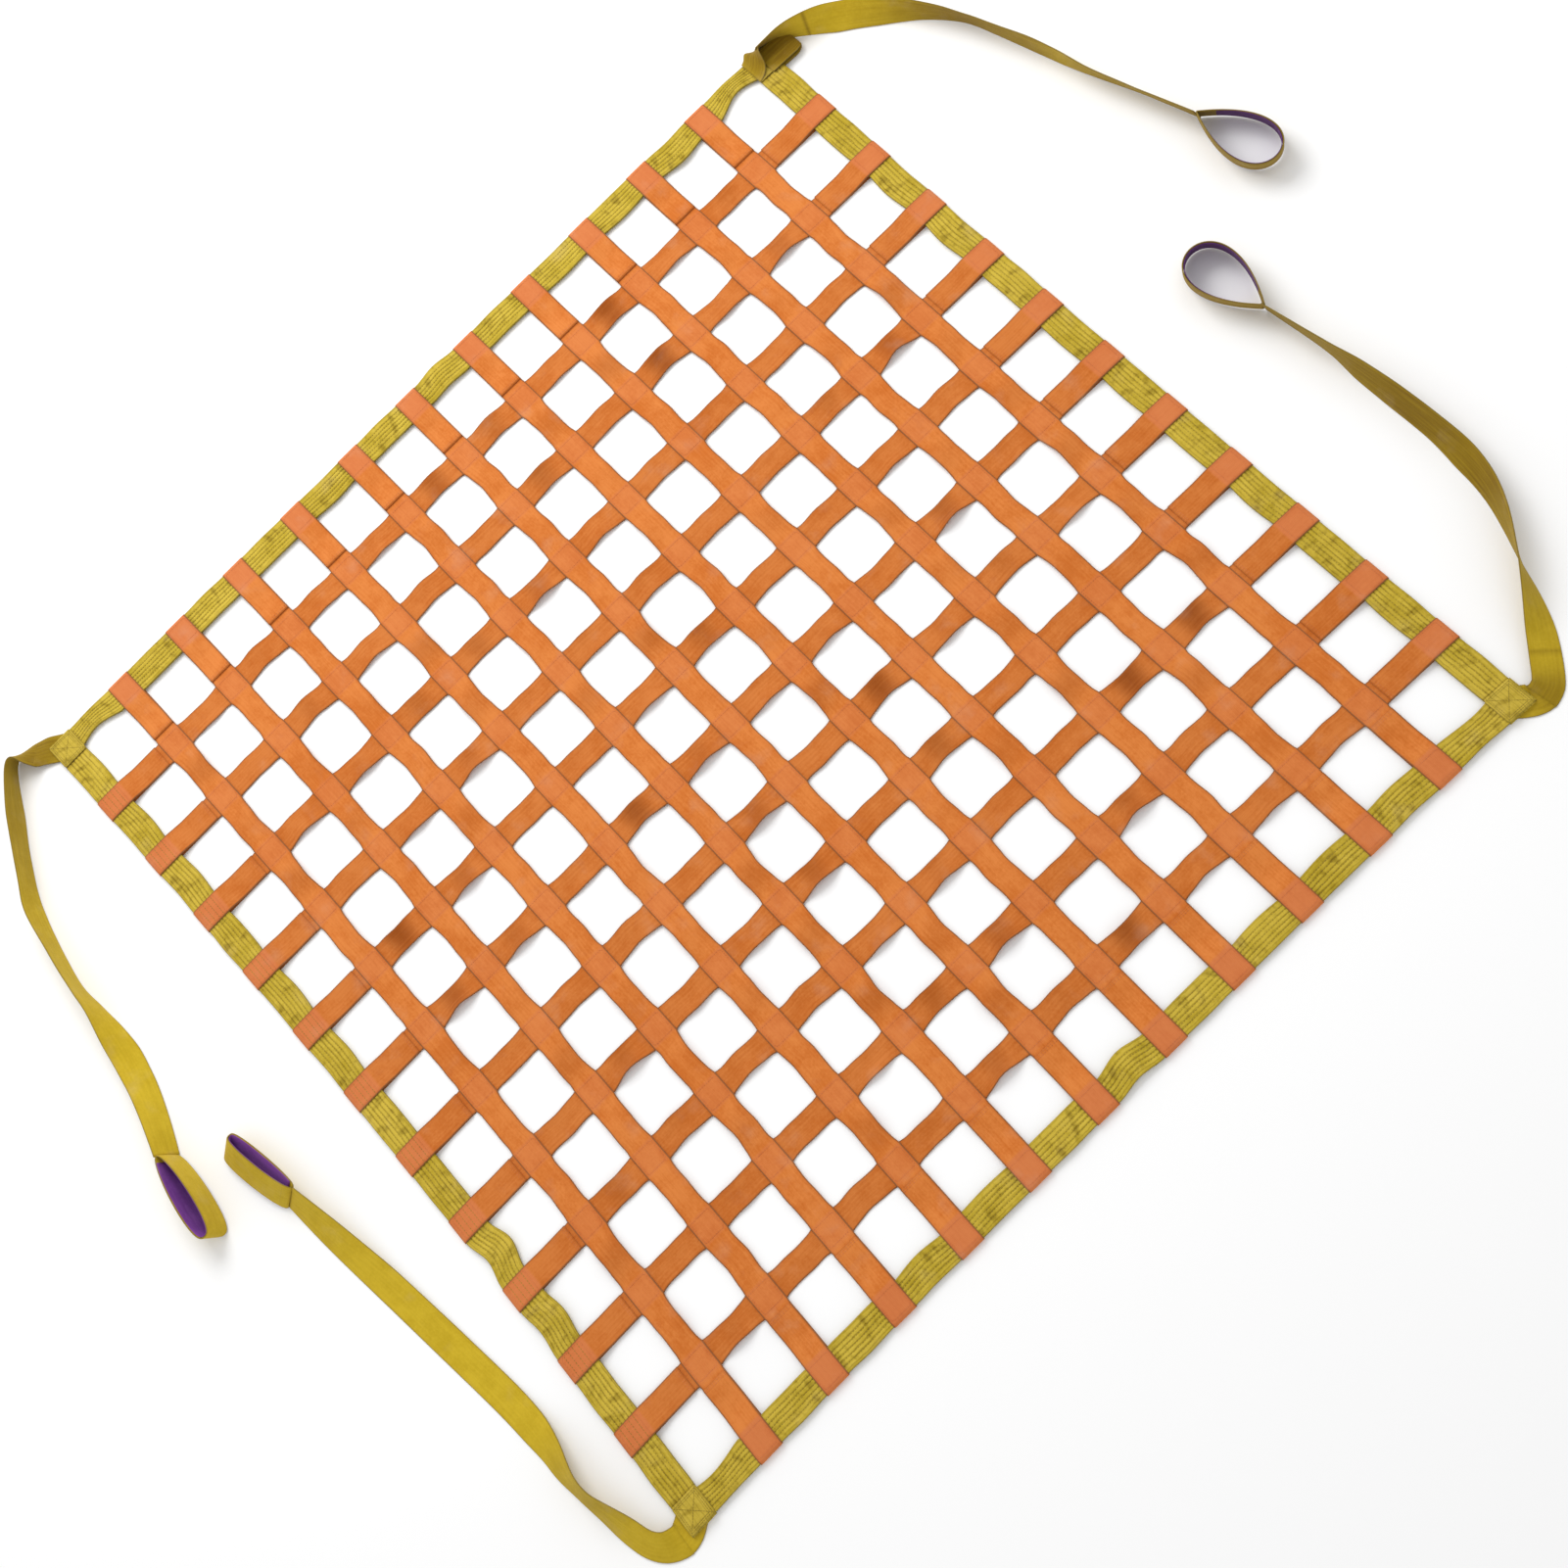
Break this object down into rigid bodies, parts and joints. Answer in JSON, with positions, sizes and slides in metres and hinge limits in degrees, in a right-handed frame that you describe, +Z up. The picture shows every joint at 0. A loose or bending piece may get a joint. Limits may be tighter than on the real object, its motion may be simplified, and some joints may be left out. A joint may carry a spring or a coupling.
{
  "type": "cargo climbing net",
  "caption": "Square climbing net of crossing flat webbing with a stitched border and a lifting strap with a lined eye at each corner, lying flat.",
  "frame": {"origin": "on the ground under the middle of the net", "axes": "+Z up out of the net's face, +X along the upper strips, +Y along the lower strips"},
  "size_m": [1.7551, 2.4192, 0.05],
  "materials": {
    "mesh_webbing": "woven orange polyester webbing",
    "border_webbing": "woven yellow polyester webbing with rows of stitching",
    "strap_webbing": "smooth woven yellow sling webbing",
    "eye_liner": "woven purple lining webbing",
    "mesh_thread": "orange sewing thread",
    "border_thread": "yellow sewing thread"
  },
  "bodies": {
    "net": {"strip_x_01": "mesh_webbing", "strip_x_02": "mesh_webbing", "strip_x_03": "mesh_webbing", "strip_x_04": "mesh_webbing", "strip_x_05": "mesh_webbing", "strip_x_06": "mesh_webbing", "strip_x_07": "mesh_webbing", "strip_x_08": "mesh_webbing", "strip_x_09": "mesh_webbing", "strip_x_10": "mesh_webbing", "strip_x_11": "mesh_webbing", "strip_y_01": "mesh_webbing", "strip_y_02": "mesh_webbing", "strip_y_03": "mesh_webbing", "strip_y_04": "mesh_webbing", "strip_y_05": "mesh_webbing", "strip_y_06": "mesh_webbing", "strip_y_07": "mesh_webbing", "strip_y_08": "mesh_webbing", "strip_y_09": "mesh_webbing", "strip_y_10": "mesh_webbing", "strip_y_11": "mesh_webbing", "border_front_lower": "border_webbing", "border_front_upper": "border_webbing", "border_back_lower": "border_webbing", "border_back_upper": "border_webbing", "border_left_lower": "border_webbing", "border_left_upper": "border_webbing", "border_right_lower": "border_webbing", "border_right_upper": "border_webbing", "corner_patch_back_left": "border_webbing", "corner_patch_back_right": "border_webbing", "corner_patch_front_right": "border_webbing", "corner_patch_front_left": "border_webbing", "strap_root_back_left": "strap_webbing", "strap_root_back_right": "strap_webbing", "strap_root_front_right": "strap_webbing", "strap_root_front_left": "strap_webbing", "crossing_stitches": "mesh_thread", "tail_seams": "mesh_thread", "border_stitches": "border_thread", "corner_stitches": "border_thread"},
    "strap_back_left": {"strap_back_left": "strap_webbing"},
    "eye_back_left": {"eye_back_left": "strap_webbing", "eye_liner_back_left": "eye_liner", "eye_tacks_back_left": "border_thread"},
    "strap_back_right": {"strap_back_right": "strap_webbing"},
    "eye_back_right": {"eye_back_right": "strap_webbing", "eye_liner_back_right": "eye_liner", "eye_tacks_back_right": "border_thread"},
    "strap_front_right": {"strap_front_right": "strap_webbing"},
    "eye_front_right": {"eye_front_right": "strap_webbing", "eye_liner_front_right": "eye_liner", "eye_tacks_front_right": "border_thread"},
    "strap_front_left": {"strap_front_left": "strap_webbing"},
    "eye_front_left": {"eye_front_left": "strap_webbing", "eye_liner_front_left": "eye_liner", "eye_tacks_front_left": "border_thread"}
  },
  "joints": [
    {"name": "lift_back_left", "type": "hinge", "parent": "net", "child": "strap_back_left", "pos_m": [-0.8555, 0.8575, 0], "axis": [0.4299, -0.9029, 0], "range_deg": [0, 90]},
    {"name": "flop_back_left", "type": "hinge", "parent": "strap_back_left", "child": "eye_back_left", "pos_m": [-0.1755, 1.1915, 0.025], "axis": [0, 0, 1], "range_deg": [-30, 60]},
    {"name": "lift_back_right", "type": "hinge", "parent": "net", "child": "strap_back_right", "pos_m": [0.8555, 0.8575, 0], "axis": [0.4819, 0.8762, 0], "range_deg": [0, 90]},
    {"name": "flop_back_right", "type": "hinge", "parent": "strap_back_right", "child": "eye_back_right", "pos_m": [0.1335, 1.0235, 0.025], "axis": [0, 0, 1], "range_deg": [-30, 60]},
    {"name": "lift_front_right", "type": "hinge", "parent": "net", "child": "strap_front_right", "pos_m": [0.8555, -0.8575, 0], "axis": [-0.4472, 0.8944, 0], "range_deg": [0, 90]},
    {"name": "flop_front_right", "type": "hinge", "parent": "strap_front_right", "child": "eye_front_right", "pos_m": [0.0515, -0.9915, 0.025], "axis": [0, 0, 1], "range_deg": [-50, 10]},
    {"name": "lift_front_left", "type": "hinge", "parent": "net", "child": "strap_front_left", "pos_m": [-0.8555, -0.8575, 0], "axis": [-0.464, -0.8858, 0], "range_deg": [0, 90]},
    {"name": "flop_front_left", "type": "hinge", "parent": "strap_front_left", "child": "eye_front_left", "pos_m": [-0.1435, -1.1035, 0.025], "axis": [0, 0, 1], "range_deg": [-60, 10]}
  ]
}
